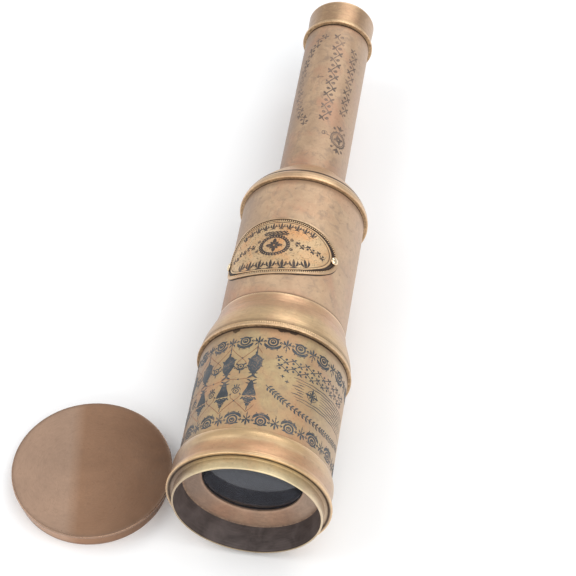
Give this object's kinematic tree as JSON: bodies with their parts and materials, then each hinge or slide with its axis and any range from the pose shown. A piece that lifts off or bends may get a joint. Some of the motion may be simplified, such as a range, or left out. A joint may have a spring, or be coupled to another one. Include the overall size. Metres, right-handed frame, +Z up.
{
  "type": "draw telescope",
  "caption": "Small antique-style brass draw telescope with flared front bell, etched barrel, curved nameplate, sliding eyepiece tube and a loose push-on cap.",
  "frame": {"origin": "centre of the front rim, on the optical axis", "axes": "+Y along the optical axis towards the eye, +Z up, telescope lying on its side"},
  "size_m": [0.1218, 0.2534, 0.0595],
  "materials": {
    "tube_brass": "aged satin, mottled",
    "turned_brass": "turned, worn satin",
    "brushed_brass": "brushed round the axis",
    "plate_brass": "satin with darkened relief",
    "cap_brass": "dark bronze, soft mirror",
    "inner_brass": "turned, unpolished",
    "blackened_brass": "matt black",
    "lens_glass": "polished"
  },
  "bodies": {
    "root": {"main_barrel": "tube_brass", "objective_bell": "turned_brass", "objective_cell": "brushed_brass", "objective_crown_lens": "lens_glass", "objective_flint_lens": "lens_glass", "objective_retaining_ring": "inner_brass", "barrel_baffle": "blackened_brass", "rear_collar": "turned_brass", "body_tube": "tube_brass", "nameplate": "plate_brass", "nameplate_rivets": "turned_brass", "draw_collar": "turned_brass", "draw_guide_sleeve": "inner_brass"},
    "draw": {"draw_tube": "tube_brass", "draw_stop_ring": "inner_brass", "eyepiece_bead_ring": "turned_brass", "eyepiece_cup": "turned_brass", "eye_lens": "lens_glass", "eye_lens_retainer": "inner_brass", "eyepiece_tube": "inner_brass", "field_lens": "lens_glass", "field_lens_retainer": "inner_brass", "eyepiece_field_stop": "blackened_brass", "erector_tube": "inner_brass", "erector_front_lens": "lens_glass", "erector_rear_lens": "lens_glass", "erector_lens_rings": "inner_brass", "erector_stop": "blackened_brass"},
    "cap": {"cap_disc": "cap_brass", "cap_skirt": "cap_brass"}
  },
  "joints": [
    {"name": "draw_slide", "type": "slide", "parent": "root", "child": "draw", "axis": [0, -1, 0], "range_m": [0, 0.0815]},
    {"name": "cap_lift", "type": "slide", "parent": "root", "child": "cap", "axis": [0, 0, 1], "range_m": [0, 0.09]}
  ]
}
